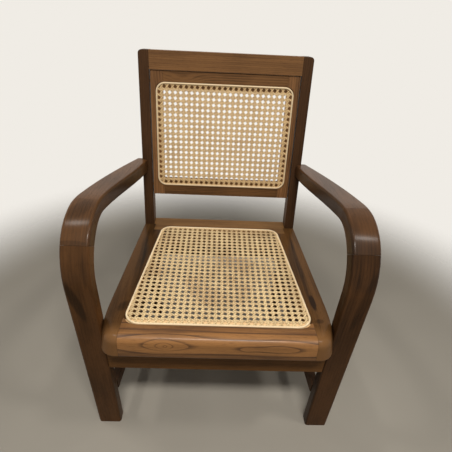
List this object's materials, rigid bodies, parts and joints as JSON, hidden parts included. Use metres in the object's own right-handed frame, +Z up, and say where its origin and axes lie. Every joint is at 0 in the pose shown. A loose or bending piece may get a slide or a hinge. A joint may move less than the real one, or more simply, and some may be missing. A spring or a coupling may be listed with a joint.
{
  "type": "planters chair",
  "caption": "Upright wooden armchair with a cane seat and a cane back panel, broad arms that bend down into the front legs, an open gap under the back panel and low side stretchers.",
  "frame": {"origin": "on the floor, under the middle of the chair's width and depth", "axes": "+Z up, +X to the right as the picture shows the chair, -Y to the front where the sitter faces"},
  "size_m": [0.6136, 0.5382, 0.8733],
  "materials": {
    "teak": "satin oil finish, mid brown with dark grain",
    "teak_light": "satin oil finish, golden brown",
    "teak_dark": "satin oil finish, dark brown",
    "cane": "semi-matt natural cane",
    "beading": "semi-matt pale rattan",
    "steel": "zinc plated"
  },
  "bodies": {
    "root": {"arm_elbow_left": "teak_light", "arm_elbow_right": "teak_light", "arm_screw_left": "steel", "arm_screw_right": "steel", "arm_tenon_left": "teak_light", "arm_tenon_right": "teak_light", "armrest_left": "teak", "armrest_right": "teak", "back_cane": "cane", "back_cane_beading": "beading", "back_panel_bottom_rail": "teak", "back_panel_stile_left": "teak", "back_panel_stile_right": "teak", "back_panel_top_rail": "teak", "back_post_left": "teak", "back_post_right": "teak", "back_top_rail": "teak", "block_screw_front_left": "steel", "block_screw_front_right": "steel", "block_screw_rear_left": "steel", "block_screw_rear_right": "steel", "corner_block_front_left": "teak_light", "corner_block_front_right": "teak_light", "corner_block_rear_left": "teak_light", "corner_block_rear_right": "teak_light", "elbow_tenon_left": "teak_light", "elbow_tenon_right": "teak_light", "front_apron": "teak", "front_leg_left": "teak", "front_leg_right": "teak", "leg_dowel_left": "teak_light", "leg_dowel_right": "teak_light", "panel_dowel_left_1": "teak_light", "panel_dowel_left_2": "teak_light", "panel_dowel_right_1": "teak_light", "panel_dowel_right_2": "teak_light", "rear_apron": "teak_dark", "seat_cane": "cane", "seat_cane_beading": "beading", "seat_dowel_left": "teak_light", "seat_dowel_right": "teak_light", "seat_front_rail": "teak_light", "seat_rear_rail": "teak", "seat_side_rail_left": "teak", "seat_side_rail_right": "teak", "side_apron_left": "teak_dark", "side_apron_right": "teak_dark", "side_stretcher_left": "teak_dark", "side_stretcher_right": "teak_dark", "stretcher_screw_left": "steel", "stretcher_screw_right": "steel"}
  },
  "joints": []
}
